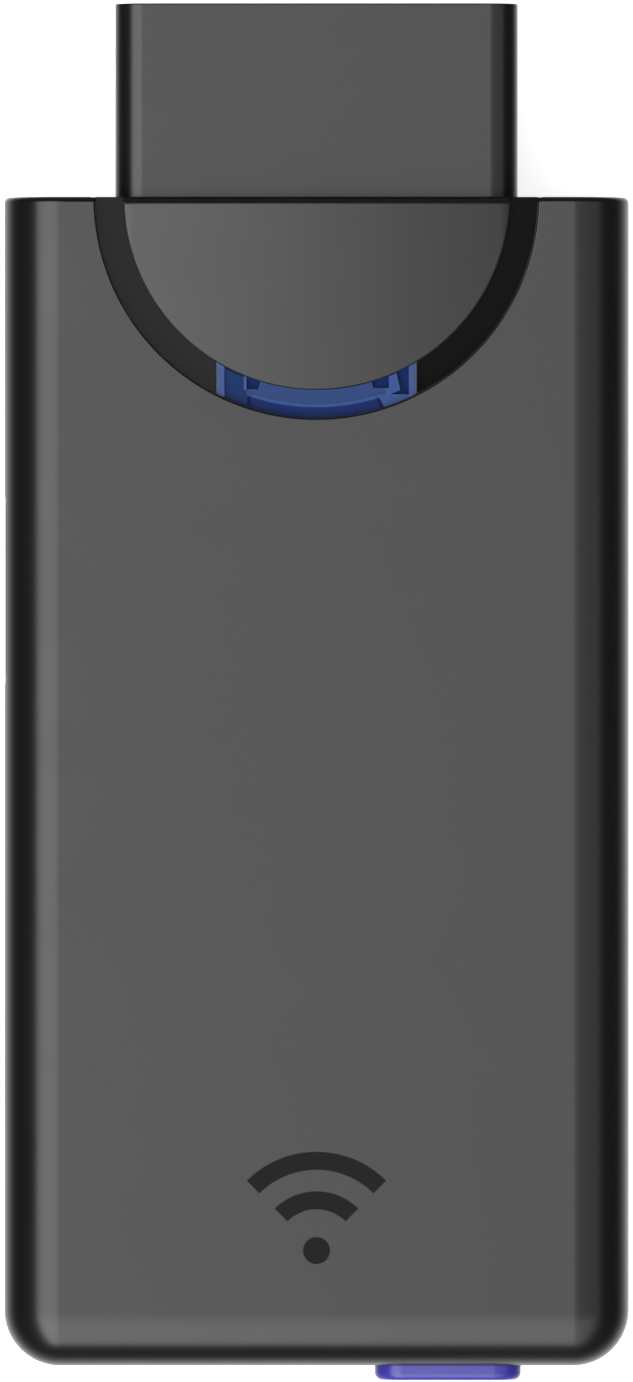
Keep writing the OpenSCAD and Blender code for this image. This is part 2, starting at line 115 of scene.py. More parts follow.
def spunRing(name, inner, outer, low, high, slope, steps=160):
    # half a ring round the pad's centre, its top falling by slope towards the outside
    selectNothing()
    bpy.ops.mesh.primitive_plane_add(size=1, location=(0, 0, 0))
    ring = named(name)
    startEdit(ring)
    bpy.ops.mesh.select_all(action="SELECT")
    bpy.ops.transform.resize(value=(outer - inner, high - low, 1), center_override=(0, 0, 0))
    bpy.ops.transform.rotate(value=math.radians(-90), orient_axis="X", center_override=(0, 0, 0))
    bpy.ops.transform.translate(value=((inner + outer) / 2, frontY, (low + high) / 2))
    bpy.ops.mesh.select_mode(type="VERT")
    bpy.ops.mesh.select_all(action="DESELECT")
    mesh = bmesh.from_edit_mesh(ring.data)
    for vertex in mesh.verts:
        vertex.select = near(vertex.co.x, outer) and near(vertex.co.z, high)
    bmesh.update_edit_mesh(ring.data)
    bpy.ops.transform.translate(value=(0, 0, -slope))
    bpy.ops.mesh.select_all(action="SELECT")
    bpy.ops.mesh.delete(type="ONLY_FACE")
    bpy.ops.mesh.select_all(action="SELECT")
    bpy.ops.mesh.spin(steps=steps, angle=math.pi, center=(0, frontY, low), axis=(0, 0, 1))
    bpy.ops.mesh.select_all(action="SELECT")
    bpy.ops.mesh.fill_holes(sides=4)
    bpy.ops.mesh.select_all(action="SELECT")
    bpy.ops.mesh.normals_make_consistent(inside=False)
    endEdit()
    return ring


def edgeFacts(edge):
    a, b = (v.co for v in edge.verts)
    bend = edge.calc_face_angle_signed(0) if len(edge.link_faces) == 2 else 0
    return (a + b) / 2, (b - a).normalized(), bend


def roundEdges(piece, wanted, radius, segments=3):
    # wanted is asked of each edge's middle, direction and bend
    startEdit(piece)
    mesh = bmesh.from_edit_mesh(piece.data)
    for edge in mesh.edges:
        if wanted(*edgeFacts(edge)):
            edge.select = True
    bmesh.update_edit_mesh(piece.data)
    bpy.ops.mesh.bevel(offset=radius, segments=segments, profile=0.5, affect="EDGES",
                       clamp_overlap=True)
    endEdit()


def tidyMesh(piece):
    # merges the near doubles and flat splits that a Boolean leaves
    startEdit(piece)
    bpy.ops.mesh.select_all(action="SELECT")
    bpy.ops.mesh.remove_doubles(threshold=0.002 * mm)
    bpy.ops.mesh.dissolve_limited(angle_limit=math.radians(0.05))
    bpy.ops.mesh.select_all(action="SELECT")
    bpy.ops.mesh.normals_make_consistent(inside=False)
    endEdit()


def combine(piece, tool, how="DIFFERENCE"):
    only(piece)
    step = piece.modifiers.new("combine", "BOOLEAN")
    step.operation = how
    step.solver = "EXACT"
    step.material_mode = "TRANSFER" if tool.data.materials else "INDEX"
    step.object = tool
    bpy.ops.object.modifier_apply(modifier=step.name)
    bpy.data.objects.remove(tool)


def near(a, b, slack=tiny):
    return abs(a - b) < slack


def isAlong(way, axis):
    return abs(way[axis]) > 0.999


def alongX(mid, way, bend):
    return isAlong(way, 0)


def alongY(mid, way, bend):
    return isAlong(way, 1)


def isSharp(bend):
    return bend > 0.6


def finishPiece(piece, body, nodes, coats, smoothUnder=35):
    only(piece)
    bpy.ops.object.shade_smooth_by_angle(angle=math.radians(smoothUnder))
    step = piece.modifiers.new("flat faces stay flat", "WEIGHTED_NORMAL")
    step.keep_sharp = True
    bpy.ops.object.modifier_apply(modifier=step.name)
    for coat in coats:
        piece.data.materials.append(coat)
    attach(piece, body)
    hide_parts(*nodes)
    print("made", piece.name, len(piece.data.polygons), "faces")


# finishes
surface = {"driftScale": 140, "tone": 0.1, "rubRadius": 0.12 * mm, "rubSamples": 4,
           "rubStart": 0.995, "rubFull": 0.85, "rubRougher": 0.1}


def mouldedGroup():
    # fine tool grain, a slow change in gloss, and edges that have rubbed paler and rougher
    group = bpy.data.node_groups.new("mouldedFinish", "ShaderNodeTree")
    face = group.interface
    for name, value in (("Grain size", 4000.0), ("Gloss drift", 0.05), ("Roughness", 0.3),
                        ("Edge wear", 0.3)):
        socket = face.new_socket(name, in_out="INPUT", socket_type="NodeSocketFloat")
        socket.default_value = value
    face.new_socket("Colour", in_out="INPUT", socket_type="NodeSocketColor")
    face.new_socket("Colour", in_out="OUTPUT", socket_type="NodeSocketColor")
    face.new_socket("Roughness", in_out="OUTPUT", socket_type="NodeSocketFloat")
    face.new_socket("Height", in_out="OUTPUT", socket_type="NodeSocketFloat")
    nodes, links = group.nodes, group.links
    start, end = nodes.new("NodeGroupInput"), nodes.new("NodeGroupOutput")
    place = nodes.new("ShaderNodeTexCoord")
    grain, drift = nodes.new("ShaderNodeTexNoise"), nodes.new("ShaderNodeTexNoise")
    grain.inputs["Detail"].default_value = 3
    grain.inputs["Roughness"].default_value = 0.6
    drift.inputs["Scale"].default_value = surface["driftScale"]
    drift.inputs["Detail"].default_value = 4
    spread = nodes.new("ShaderNodeMapRange")
    spread.inputs["From Min"].default_value = 0.3
    spread.inputs["From Max"].default_value = 0.7
    spread.inputs["To Min"].default_value = -1
    scaled = nodes.new("ShaderNodeMath")
    scaled.operation = "MULTIPLY_ADD"
    tone = nodes.new("ShaderNodeMapRange")
    tone.inputs["To Min"].default_value = 1 - surface["tone"]
    tone.inputs["To Max"].default_value = 1 + surface["tone"]
    tint = nodes.new("ShaderNodeVectorMath")
    tint.operation = "SCALE"
    # rubbed edges: where a rounded normal leaves the true one, broken up by the drift
    flat, eased = nodes.new("ShaderNodeNewGeometry"), nodes.new("ShaderNodeBevel")
    eased.samples = surface["rubSamples"]
    eased.inputs["Radius"].default_value = surface["rubRadius"]
    match = nodes.new("ShaderNodeVectorMath")
    match.operation = "DOT_PRODUCT"
    edge = nodes.new("ShaderNodeMapRange")
    edge.inputs["From Min"].default_value = surface["rubStart"]
    edge.inputs["From Max"].default_value = surface["rubFull"]
    broken, worn, paler, rougher = (nodes.new("ShaderNodeMath") for _ in range(4))
    broken.operation = worn.operation = "MULTIPLY"
    paler.operation = rougher.operation = "MULTIPLY_ADD"
    rougher.inputs[1].default_value = surface["rubRougher"]
    links.new(place.outputs["Object"], grain.inputs["Vector"])
    links.new(place.outputs["Object"], drift.inputs["Vector"])
    links.new(start.outputs["Grain size"], grain.inputs["Scale"])
    links.new(drift.outputs["Fac"], spread.inputs["Value"])
    links.new(spread.outputs["Result"], scaled.inputs[0])
    links.new(start.outputs["Gloss drift"], scaled.inputs[1])
    links.new(start.outputs["Roughness"], scaled.inputs[2])
    links.new(grain.outputs["Fac"], tone.inputs["Value"])
    links.new(start.outputs["Colour"], tint.inputs[0])
    links.new(flat.outputs["Normal"], match.inputs[0])
    links.new(eased.outputs["Normal"], match.inputs[1])
    links.new(match.outputs["Value"], edge.inputs["Value"])
    links.new(edge.outputs["Result"], broken.inputs[0])
    links.new(drift.outputs["Fac"], broken.inputs[1])
    links.new(broken.outputs["Value"], worn.inputs[0])
    links.new(start.outputs["Edge wear"], worn.inputs[1])
    links.new(worn.outputs["Value"], paler.inputs[0])
    links.new(tone.outputs["Result"], paler.inputs[1])
    links.new(tone.outputs["Result"], paler.inputs[2])
    links.new(paler.outputs["Value"], tint.inputs["Scale"])
    links.new(tint.outputs["Vector"], end.inputs["Colour"])
    links.new(worn.outputs["Value"], rougher.inputs[0])
    links.new(scaled.outputs["Value"], rougher.inputs[2])
    links.new(rougher.outputs["Value"], end.inputs["Roughness"])
    links.new(grain.outputs["Fac"], end.inputs["Height"])
    return group


moulded = mouldedGroup()


def mouldedPlastic(name, colour, roughness, grainSize=4000, grainDepth=0.0008, drift=0.012,
                   specular=0.5, wear=0.3):
    # grainSize is how many grains to the metre, grainDepth is in millimetres
    finish = bpy.data.materials.new(name)
    finish.use_nodes = True
    nodes, links = finish.node_tree.nodes, finish.node_tree.links
    shader = nodes["Principled BSDF"]
    look = nodes.new("ShaderNodeGroup")
    look.node_tree = moulded
    look.inputs["Colour"].default_value = (*colour, 1)
    look.inputs["Roughness"].default_value = roughness
    look.inputs["Grain size"].default_value = grainSize
    look.inputs["Gloss drift"].default_value = drift
    look.inputs["Edge wear"].default_value = wear
    bump = nodes.new("ShaderNodeBump")
    bump.inputs["Distance"].default_value = grainDepth * mm
    bump.inputs["Strength"].default_value = 1
    links.new(look.outputs["Colour"], shader.inputs["Base Color"])
    links.new(look.outputs["Roughness"], shader.inputs["Roughness"])
    links.new(look.outputs["Height"], bump.inputs["Height"])
    links.new(bump.outputs["Normal"], shader.inputs["Normal"])
    shader.inputs["Specular IOR Level"].default_value = specular
    return finish


def brushedMetal(name, colour, roughness, grainSize=9000, grainDepth=0.001, drift=0.08):
    finish = mouldedPlastic(name, colour, roughness, grainSize, grainDepth, drift)
    finish.node_tree.nodes["Principled BSDF"].inputs["Metallic"].default_value = 1
    return finish


# colour, roughness, grain size, grain depth, gloss drift, specular
plastics = {
    "casePlastic": ((0.0045, 0.0045, 0.0048), 0.29),
    "plugPlastic": ((0.0045, 0.0045, 0.0048), 0.29),
    "padPlastic": ((0.005, 0.005, 0.0053), 0.29),
    "glossTrim": ((0.0037, 0.0037, 0.0037), 0.04, 2500, 0.0001, 0.01, 0.07),
    "guideBlue": ((0.0125, 0.039, 0.14), 0.2, 2600, 0.002, 0.05, 0.12),
    # darker copies of the light guide's one blue: painted shade for its deep step, left panel, base
    # and wells
    "guideShadeDeep": ((0.003, 0.016, 0.1), 0.2, 2600, 0.002, 0.05, 0.04),
    "guideDark": ((0.005, 0.021, 0.12), 0.2, 2600, 0.002, 0.05, 0.05),
    "guideMid": ((0.0045, 0.023, 0.104), 0.2, 2600, 0.002, 0.05, 0.06),
    # paler copies of the light guide's one blue: painted highlight on its streak, strips, sides and
    # right-hand panels
    "guidePale": ((0.02, 0.055, 0.19), 0.2, 2600, 0.002, 0.05, 0.14),
    "guideEdge": ((0.024, 0.052, 0.18), 0.2, 2600, 0.002, 0.05, 0.2),
    "guideRim": ((0.034, 0.06, 0.145), 0.2, 2600, 0.002, 0.05, 0.2),
    "markInk": ((0.011, 0.011, 0.011), 0.5, 7000, 0.003, 0.05, 0.05),
    "violetPlastic": ((0.033, 0.026, 0.26), 0.3, 4000, 0.001),
    "blackMoulding": ((0.012, 0.012, 0.013), 0.5, 5000, 0.006, 0.08),
    "labelFilm": ((0.02, 0.02, 0.021), 0.42, 3000, 0.002, 0.04),
    "solderMask": ((0.01, 0.09, 0.04), 0.3, 900, 0.01, 0.06),
    "chipEpoxy": ((0.015, 0.015, 0.016), 0.55, 8000, 0.006, 0.06),
    "ceramic": ((0.3, 0.18, 0.09), 0.5, 6000, 0.003, 0.06),
    "lampResin": ((0.75, 0.73, 0.62), 0.25, 3000, 0.002, 0.05),
    "nylon": ((0.62, 0.6, 0.54), 0.45, 4000, 0.004, 0.05),
}
metals = {
    "goldPlate": ((0.83, 0.6, 0.25), 0.25),
    "tinnedSheet": ((0.62, 0.63, 0.64), 0.33),
    "nickelSheet": ((0.6, 0.61, 0.62), 0.28),
    "brightZinc": ((0.58, 0.59, 0.61), 0.3),
    "copperStrip": ((0.75, 0.38, 0.22), 0.35),
}
finishes = {name: mouldedPlastic(name, *values) for name, values in plastics.items()}
finishes.update((name, brushedMetal(name, *values)) for name, values in metals.items())
print("finishes ready", len(finishes))

# case, upper half
caseTop = {
    "edgeRadius": 3.4 * mm, "edgeSteps": 18, "frontFillet": 0.6 * mm, "rimFillet": 0.1 * mm,
    "wall": 1.5 * mm, "pocketFloorThick": 1 * mm, "lip": 0.12 * mm,
    "recessLength": 12.2 * mm, "recessHeight": 5.6 * mm, "recessDepth": 0.7 * mm,
    "recessRound": 1.4 * mm, "socketRound": 0.4 * mm, "holeGap": 0.1 * mm, "neckStep": 1 * mm,
    "buttonGap": 0.15 * mm, "windowRim": 0.35 * mm,
}
# snap tongues of the upper half and their pockets in the lower half
snap = {"width": 5 * mm, "reach": 2.2 * mm, "thick": 0.8 * mm, "off": 0.1 * mm, "root": 2 * mm,
        "beadTall": 0.7 * mm, "beadOut": 0.2 * mm, "beadRound": 0.25 * mm, "gap": 0.1 * mm,
        "fromFront": 9 * mm, "fromRear": 15 * mm,
        "beadIn": 0.5 * mm, "rootIn": 0.3 * mm, "pocketTall": 0.9 * mm}


def roundedBlock(name, low, high, radius, steps):
    # a block with its long top edges, rear top edge and rear upright edges rounded
    block = addBox(name, low, high)
    roundEdges(block, lambda mid, way, bend: (
        (near(mid.z, high[2]) and (isAlong(way, 1) or near(mid.y, low[1])))
        or (isAlong(way, 2) and near(mid.y, low[1]))), radius, steps)
    return block


def ringTool(name, inner, outer, halfWidth, z0, z1):
    ring = addDrum(name, outer, (0, frontY, z0), (0, frontY, z1), 256)
    combine(ring, addDrum("core", inner, (0, frontY, z0 - mm), (0, frontY, z1 + mm), 256))
    combine(ring, addBox("band", (-halfWidth, frontY - outer - mm, z0 - mm),
                         (halfWidth, frontY - peg["fromFront"], z1 + mm)), "INTERSECT")
    return ring


def portTools():
    # the recess in the side and the socket's way through the wall
    midY, midZ = (socketLow.y + socketHigh.y) / 2, (socketLow.z + socketHigh.z) / 2
    long, tall = caseTop["recessLength"] / 2, caseTop["recessHeight"] / 2
    recess = addBox("recess", (-halfW - mm, midY - long, midZ - tall),
                    (-halfW + caseTop["recessDepth"], midY + long, midZ + tall))
    roundEdges(recess, alongX, caseTop["recessRound"], 8)
    gap = caseTop["holeGap"]
    way = addBox("way", (-halfW - mm, socketLow.y - gap, socketLow.z - gap),
                 (-halfW + caseTop["wall"] + mm, socketHigh.y + gap, socketHigh.z + gap))
    roundEdges(way, alongX, caseTop["socketRound"], 4)
    return [recess, way]


def buttonTool():
    # the button's own outline, grown by its running gap
    gap = caseTop["buttonGap"]
    half = buttonShape["width"] / 2 + gap
    tool = addBox("buttonWay", (buttonMid.x - half, rearY - mm, buttonLow.z - gap),
                  (buttonMid.x + half, rearY + caseTop["wall"] + mm, buttonHigh.z + gap))
    roundEdges(tool, alongY, buttonShape["corner"] + gap, 8)
    return tool


def neckTool():
    # the hole in the front that grips the plug's neck
    step, gap = caseTop["neckStep"], caseTop["holeGap"]
    half = plugHigh.x - step + gap
    tall = plugShape["height"] / 2 - step + gap
    return addBox("neckWay", (-half, frontY - caseTop["wall"] - mm, middleZ - tall),
                  (half, frontY + mm, middleZ + tall))


buttonMid = (buttonLow + buttonHigh) / 2
buttonShape = {"width": 8.9 * mm, "corner": 1.68 * mm, "topRound": 0.45 * mm,
               "capIn": 1.7 * mm, "rimGap": 0.03 * mm, "rimThick": 0.8 * mm,
               "stemIn": 2 * mm, "stemHalfWide": 1.2 * mm, "stemHalfTall": 0.8 * mm}
plugShape = {"height": 8 * mm, "edgeRadius": 1.7 * mm, "baseRadius": 0.85 * mm,
             "frontFillet": 0.08 * mm, "holeRadius": 0.8 * mm, "mouthFillet": 0.1 * mm,
             "flangeThick": 1.2 * mm, "groupGap": 0.5 * mm, "tubeRadius": 0.7 * mm,
             "neckOver": 0.5 * mm, "carrierRoom": 0.1 * mm}
peg = {"radius": 0.9 * mm, "fromMiddle": 4.5 * mm, "fromFront": 4 * mm}  # under the pad
markShape = {"stroke": 1.1 * mm, "outer": 6 * mm, "innerShare": 0.6, "dotShare": 0.75,
             "fanAngle": 45, "fanShift": 1.4, "depth": 0.2 * mm, "gap": 0.02 * mm}


def atFront(mid, way, bend):
    return isSharp(bend) and near(mid.y, frontY) and mid.z > splitZ + tiny


def onRim(mid, way, bend):
    spread = math.hypot(mid.x, mid.y - frontY)
    return isSharp(bend) and near(mid.z, topZ) and near(spread, grooveR, 0.02 * mm)


def addHollow(low, high, radius, ceiling):
    # the space inside, with the pocket's floor kept solid
    hollow = roundedBlock("hollow", low, high, radius, 8)
    combine(hollow, addDrum("floorDisc", grooveR + caseTop["wall"], (0, frontY, ceiling),
                            (0, frontY, topZ + mm), 128))
    return hollow


def snapPlaces():
    return (frontY - snap["fromFront"], rearY + snap["fromRear"])


def addTongues(piece):
    # snap tongues that reach down inside the lower half, each with a bead
    s, inside = snap, halfW - caseTop["wall"]
    back, foot = inside - s["off"] - s["thick"], splitZ - s["reach"]
    for side in (-1, 1):
        for y in snapPlaces():
            y0, y1 = y - s["width"] / 2, y + s["width"] / 2
            tongue = addBox("tongue", (back, y0, foot), (inside - s["off"], y1, splitZ + s["root"]))
            root = addBox("root", (back, y0, splitZ),
                          (inside + s["rootIn"], y1, splitZ + s["root"]))
            bead = addBox("bead", (inside - s["beadIn"], y0, foot),
                          (inside + s["beadOut"], y1, foot + s["beadTall"]))
            roundEdges(bead, lambda mid, way, bend: isAlong(way, 1) and mid.x > inside,
                       s["beadRound"], 4)
            combine(tongue, root, "UNION")
            combine(tongue, bead, "UNION")
            if side < 0:
                only(tongue)
                bpy.ops.transform.mirror(constraint_axis=(True, False, False),
                                         center_override=(0, 0, 0))
                bpy.ops.object.transform_apply(location=True, rotation=True, scale=True)
                tidyMesh(tongue)
            combine(piece, tongue, "UNION")


def markTool(name, z0, z1, grow=0.0):
    # a dot with two arcs that fan towards the plug
    stroke, outer = markShape["stroke"], markShape["outer"]
    dot = Vector((0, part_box("wireless_mark")[1].y - outer, 0))
    low, high, over = Vector((0, 0, z0)), Vector((0, 0, z1)), Vector((0, 0, mm))
    mark = addDrum(name, stroke * markShape["dotShare"] + grow, dot + low, dot + high, 40)
    for radius in (outer * markShape["innerShare"], outer):
        arc = addDrum("arc", radius + grow, dot + low, dot + high, 160)
        combine(arc, addDrum("core", radius - stroke - grow, dot + low - over,
                             dot + high + over, 160))
        fan = addBox("fan", (0, 0, z0 - mm), (outer + mm, outer + mm, z1 + mm))
        only(fan)
        bpy.ops.transform.rotate(value=-math.radians(markShape["fanAngle"]), orient_axis="Z",
                                 center_override=(0, 0, 0))
        bpy.ops.transform.translate(value=dot - Vector((0, grow * markShape["fanShift"], 0)))
        bpy.ops.object.transform_apply(location=True, rotation=True, scale=True)
        combine(arc, fan, "INTERSECT")
        combine(mark, arc, "UNION")
    return mark


def onSplit(mid, way, bend):
    # the outer edge where the two halves meet
    return isSharp(bend) and near(mid.z, splitZ) and (
        near(abs(mid.x), halfW) or near(mid.y, rearY) or near(mid.y, frontY))


def makeCaseTop():
    s = caseTop
    shell = roundedBlock("caseTop", (-halfW, rearY, splitZ), (halfW, frontY, topZ),
                         s["edgeRadius"], s["edgeSteps"])
    pocket = addDrum("pocket", grooveR, (0, frontY, pocketFloor), (0, frontY, topZ + mm), 256)
    combine(shell, pocket)
    tidyMesh(shell)
    roundEdges(shell, atFront, s["frontFillet"], 5)
    roundEdges(shell, onRim, s["rimFillet"], 3)
    inside = halfW - s["wall"]
    hollow = addHollow((-inside, rearY + s["wall"], splitZ - mm),
                       (inside, frontY - s["wall"], topZ - s["wall"]),
                       s["edgeRadius"] - s["wall"], pocketFloor - s["pocketFloorThick"])
    combine(shell, hollow)
    for tool in [neckTool(), buttonTool(), *portTools()]:
        combine(shell, tool)
    for x in (-peg["fromMiddle"], peg["fromMiddle"]):
        spot = Vector((x, frontY - peg["fromFront"], pocketFloor))
        combine(shell, addDrum("pegHole", peg["radius"] + runGap,
                               spot - Vector((0, 0, 3 * mm)), spot + Vector((0, 0, mm))))
    rim = s["windowRim"]  # the light guide's leg goes down through the window
    combine(shell, ringTool("window", padR + rim, grooveR - rim, guideHigh.x - rim,
                            pocketFloor - 2 * mm, pocketFloor + mm))
    combine(shell, markTool("markCut", topZ - markShape["depth"], topZ + mm))
    tidyMesh(shell)
    roundEdges(shell, onSplit, s["lip"], 2)
    addTongues(shell)
    finishPiece(shell, "case", ["top_shell"], [finishes["casePlastic"]])


makeCaseTop()

# case, lower half
caseBottom = {"baseRadius": 2.2 * mm, "postRadius": 1.9 * mm, "pilotRadius": 0.77 * mm,
              "postInset": 3 * mm, "screwFromFront": 20 * mm, "postFromFront": 11 * mm,
              "postFromRear": 14 * mm, "labelDepth": 0.15 * mm, "labelGap": 0.1 * mm}


def rearUpright(y):
    return lambda mid, way, bend: isAlong(way, 2) and near(mid.y, y)


def makeCaseBottom():
    s, wall = caseBottom, caseTop["wall"]
    shell = addBox("caseBottom", (-halfW, rearY, caseLow.z), (halfW, frontY, splitZ))
    roundEdges(shell, rearUpright(rearY), caseTop["edgeRadius"], caseTop["edgeSteps"])
    roundEdges(shell, lambda mid, way, bend: bend > 0.05 and near(mid.z, caseLow.z) and (
        mid.y < frontY - tiny), s["baseRadius"], 12)
    roundEdges(shell, lambda mid, way, bend: isSharp(bend) and near(mid.y, frontY) and (
        mid.z < splitZ - tiny), caseTop["frontFillet"], 4)
    inside = halfW - wall
    hollow = addBox("hollow", (-inside, rearY + wall, caseLow.z + wall),
                    (inside, frontY - wall, splitZ + mm))
    roundEdges(hollow, rearUpright(rearY + wall), caseTop["edgeRadius"] - wall, 8)
    roundEdges(hollow, lambda mid, way, bend: bend > 0.05 and near(mid.z, caseLow.z + wall),
               s["baseRadius"] - wall, 5)
    combine(shell, hollow)
    # four posts under the board, two of them drilled for the screws
    boardLow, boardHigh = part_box("main_board")
    left, right = boardLow.x + s["postInset"], boardHigh.x - s["postInset"]
    rearRow = rearY + s["postFromRear"]
    for x, y, drilled in ((right, frontY - s["screwFromFront"], True), (left, rearRow, True),
                          (left, frontY - s["postFromFront"], False), (right, rearRow, False)):
        combine(shell, addDrum("post", s["postRadius"], (x, y, wall * 0.6),
                               (x, y, boardLow.z)), "UNION")
        if drilled:
            combine(shell, addDrum("pilot", s["pilotRadius"], (x, y, wall / 2),
                                   (x, y, boardLow.z + mm), 32))
    for tool in [neckTool(), buttonTool(), *portTools()]:
        combine(shell, tool)
    reach, half = snap["reach"] + snap["gap"], snap["width"] / 2 + snap["gap"]
    for side in (-1, 1):
        for y in snapPlaces():
            x0, x1 = sorted((side * (inside - snap["beadIn"]), side * (inside + snap["rootIn"])))
            combine(shell, addBox("snapPocket", (x0, y - half, splitZ - reach),
                                  (x1, y + half, splitZ - reach + snap["pocketTall"])))
    labelLow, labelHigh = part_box("base_label")
    gap = s["labelGap"]
    combine(shell, addBox("labelPlace", (labelLow.x - gap, labelLow.y - gap, caseLow.z - mm),
                          (labelHigh.x + gap, labelHigh.y + gap, caseLow.z + s["labelDepth"])))
    tidyMesh(shell)
    roundEdges(shell, onSplit, caseTop["lip"], 2)
    finishPiece(shell, "case", ["bottom_shell"], [finishes["casePlastic"]])


makeCaseBottom()

# thumb pad
padShape = {"rise": 0.33 * mm, "frontFillet": 0.48 * mm, "rimFillet": 0.1 * mm, "cuts": 46,
            "foot": 0.2 * mm}


def makeThumbPad():
    s = padShape
    pad = addBox("thumbPad", (-padR - mm, frontY - padR - mm, pocketFloor),
                 (padR + mm, frontY, topZ))
    roundEdges(pad, lambda mid, way, bend: isSharp(bend) and near(mid.z, topZ) and (
        near(mid.y, frontY)), s["frontFillet"], 5)
    combine(pad, addDrum("disc", padR, (0, frontY, pocketFloor - mm),
                         (0, frontY, topZ + mm), 256), "INTERSECT")
    tidyMesh(pad)
    roundEdges(pad, lambda mid, way, bend: isSharp(bend) and near(mid.z, topZ),
               s["rimFillet"], 3)
    startEdit(pad)
    for cut in range(1, s["cuts"]):
        bpy.ops.mesh.select_all(action="SELECT")
        bpy.ops.mesh.bisect(plane_co=(padR * (2 * cut / s["cuts"] - 1), 0, 0), plane_no=(1, 0, 0))
    endEdit()
    # the crown: the top falls away on both sides
    fall = pad.vertex_groups.new(name="fall")
    for vertex in pad.data.vertices:
        if vertex.co.z > pocketFloor + s["foot"]:
            fall.add([vertex.index], (vertex.co.x / padR) ** 2, "REPLACE")
    only(pad)
    crown = pad.modifiers.new("crown", "DISPLACE")
    crown.direction = "Z"
    crown.vertex_group = fall.name
    crown.mid_level = 0
    crown.strength = -s["rise"]
    bpy.ops.object.modifier_apply(modifier=crown.name)
    for x in (-peg["fromMiddle"], peg["fromMiddle"]):
        spot = Vector((x, frontY - peg["fromFront"], pocketFloor))
        stub = addDrum("stub", peg["radius"], spot - Vector((0, 0, mm)),
                       spot + Vector((0, 0, s["foot"])), 40)
        combine(pad, stub, "UNION")
    finishPiece(pad, "case", ["thumb_pad"], [finishes["padPlastic"]], 25)


makeThumbPad()

# gloss ring and status light in the groove
trimShape = {"fillet": 0.08 * mm, "slope": 0.05 * mm}


def makeArcTrim():
    s = trimShape
    ring = spunRing("arcTrim", padR + runGap, grooveR - runGap, trimLow.z, trimHigh.z, s["slope"])
    lightHalf = guideHigh.x + runGap
    combine(ring, addBox("lightGap", (-lightHalf, frontY - grooveR - mm, trimLow.z - mm),
                         (lightHalf, frontY - peg["fromFront"], trimHigh.z + mm)))
    top = trimHigh.z - s["slope"] - tiny
    roundEdges(ring, lambda mid, way, bend: isSharp(bend) and mid.z > top, s["fillet"], 2)
    finishPiece(ring, "case", ["arc_trim"], [finishes["glossTrim"]], 20)


makeArcTrim()


def leanSides(box, x0, x1, y, lean):
    # slides the two upright edges at one end of a box sideways
    for x, shift in ((x0, lean[0]), (x1, lean[1])):
        if shift:
            startEdit(box)
            bpy.ops.mesh.select_mode(type="VERT")
            mesh = bmesh.from_edit_mesh(box.data)
            for vertex in mesh.verts:
                vertex.select = near(vertex.co.x, x) and near(vertex.co.y, y)
            bmesh.update_edit_mesh(box.data)
            bpy.ops.transform.translate(value=(shift, 0, 0))
            endEdit()


barHalf, barWide = guideHigh.x, grooveR - padR - runGap
bandOut = 1.13 * mm  # how far the raised band reaches past the pad's rim
guideShape = {
    "floorDrop": 0.55 * mm, "foot": 0.1 * mm, "shy": 0.01 * mm, "legInset": 0.4 * mm,
    # name, finish, from and to across, from and to past the pad's rim, drop below the bar's top,
    # then for some the lean of both ends, and from and to behind the front
    # the finishes are one blue shaded for how light falls through the bar: darker ones are painted
    # shade, paler ones painted highlight
    "steps": [
        ("leftSide", "guideRim", -barHalf, -5.85 * mm, runGap, barWide, 0.12 * mm),
        ("leftStrip", "guideEdge", -5.9 * mm, -5.6 * mm, runGap, barWide, 0.04 * mm),
        ("leftPanel", "guideMid", -5.7 * mm, -4.2 * mm, 2.5 * runGap, barWide - runGap, 0.28 * mm),
        ("leftRib", "guideEdge", -4.42 * mm, -4.26 * mm, runGap, bandOut, 0.12 * mm,
         (0, 0), (10 * mm, 11.75 * mm)),
        ("band", "guideBlue", -4.25 * mm, 4.3 * mm, runGap, bandOut, 0.2 * mm),
        ("streak", "guidePale", -3.9 * mm, 3.6 * mm, bandOut - 0.2 * mm, bandOut - 0.05 * mm,
         0.17 * mm),
        ("darkStep", "guideDark", -4.05 * mm, 3.3 * mm, bandOut - 0.02 * mm, barWide, 0.4 * mm,
         (0.15 * mm, 0.95 * mm), (11.5 * mm, 13.6 * mm)),
        ("rightPanel", "guidePale", 3.7 * mm, 5.7 * mm, 1.5 * runGap, barWide, 0.14 * mm,
         (0.9 * mm, 0), (12 * mm, 13.6 * mm)),
        ("rightTop", "guidePale", 4.2 * mm, 5.7 * mm, 1.5 * runGap, bandOut, 0.14 * mm),
        ("rightStrip", "guideEdge", 5.62 * mm, 5.92 * mm, runGap, barWide, 0.04 * mm),
        ("rightSide", "guideRim", 5.87 * mm, barHalf, runGap, barWide, 0.12 * mm),
    ],
    # small wells: from and to across, from and to behind the front, lean of the two sides
    "wells": [
        (-4.23 * mm, -3 * mm, 10 * mm, 11.7 * mm, 0, -0.55 * mm),
        (3.1 * mm, 4.4 * mm, 10 * mm, 11.62 * mm, 0.35 * mm, 0),
        (4.71 * mm, 5.61 * mm, 10 * mm, 11.8 * mm, 0.4 * mm, 0),
    ],
    "wellFloor": 0.02 * mm,
}


def barPart(name, finishName, x0, x1, out0, out1, drop, lean=(0, 0), behind=(0, 0)):
    # one step of the bar, cut from a ring round the pad's centre
    s = guideShape
    low, top = guideHigh.z - s["floorDrop"] - s["foot"], guideHigh.z - drop
    part = addDrum(name, padR + out1 - s["shy"], (0, frontY, low), (0, frontY, top), 256)
    combine(part, addDrum("core", padR + out0 + s["shy"], (0, frontY, low - mm),
                          (0, frontY, top + mm), 256))
    y0, y1 = frontY - grooveR - mm, frontY - peg["fromFront"]
    if behind[1]:
        y0, y1 = frontY - behind[1], frontY - behind[0]
    clip = addBox("clip", (x0, y0, low - mm), (x1, y1, top + mm))
    leanSides(clip, x0, x1, y0, lean)
    combine(part, clip, "INTERSECT")
    part.data.materials.append(finishes[finishName])
    return part


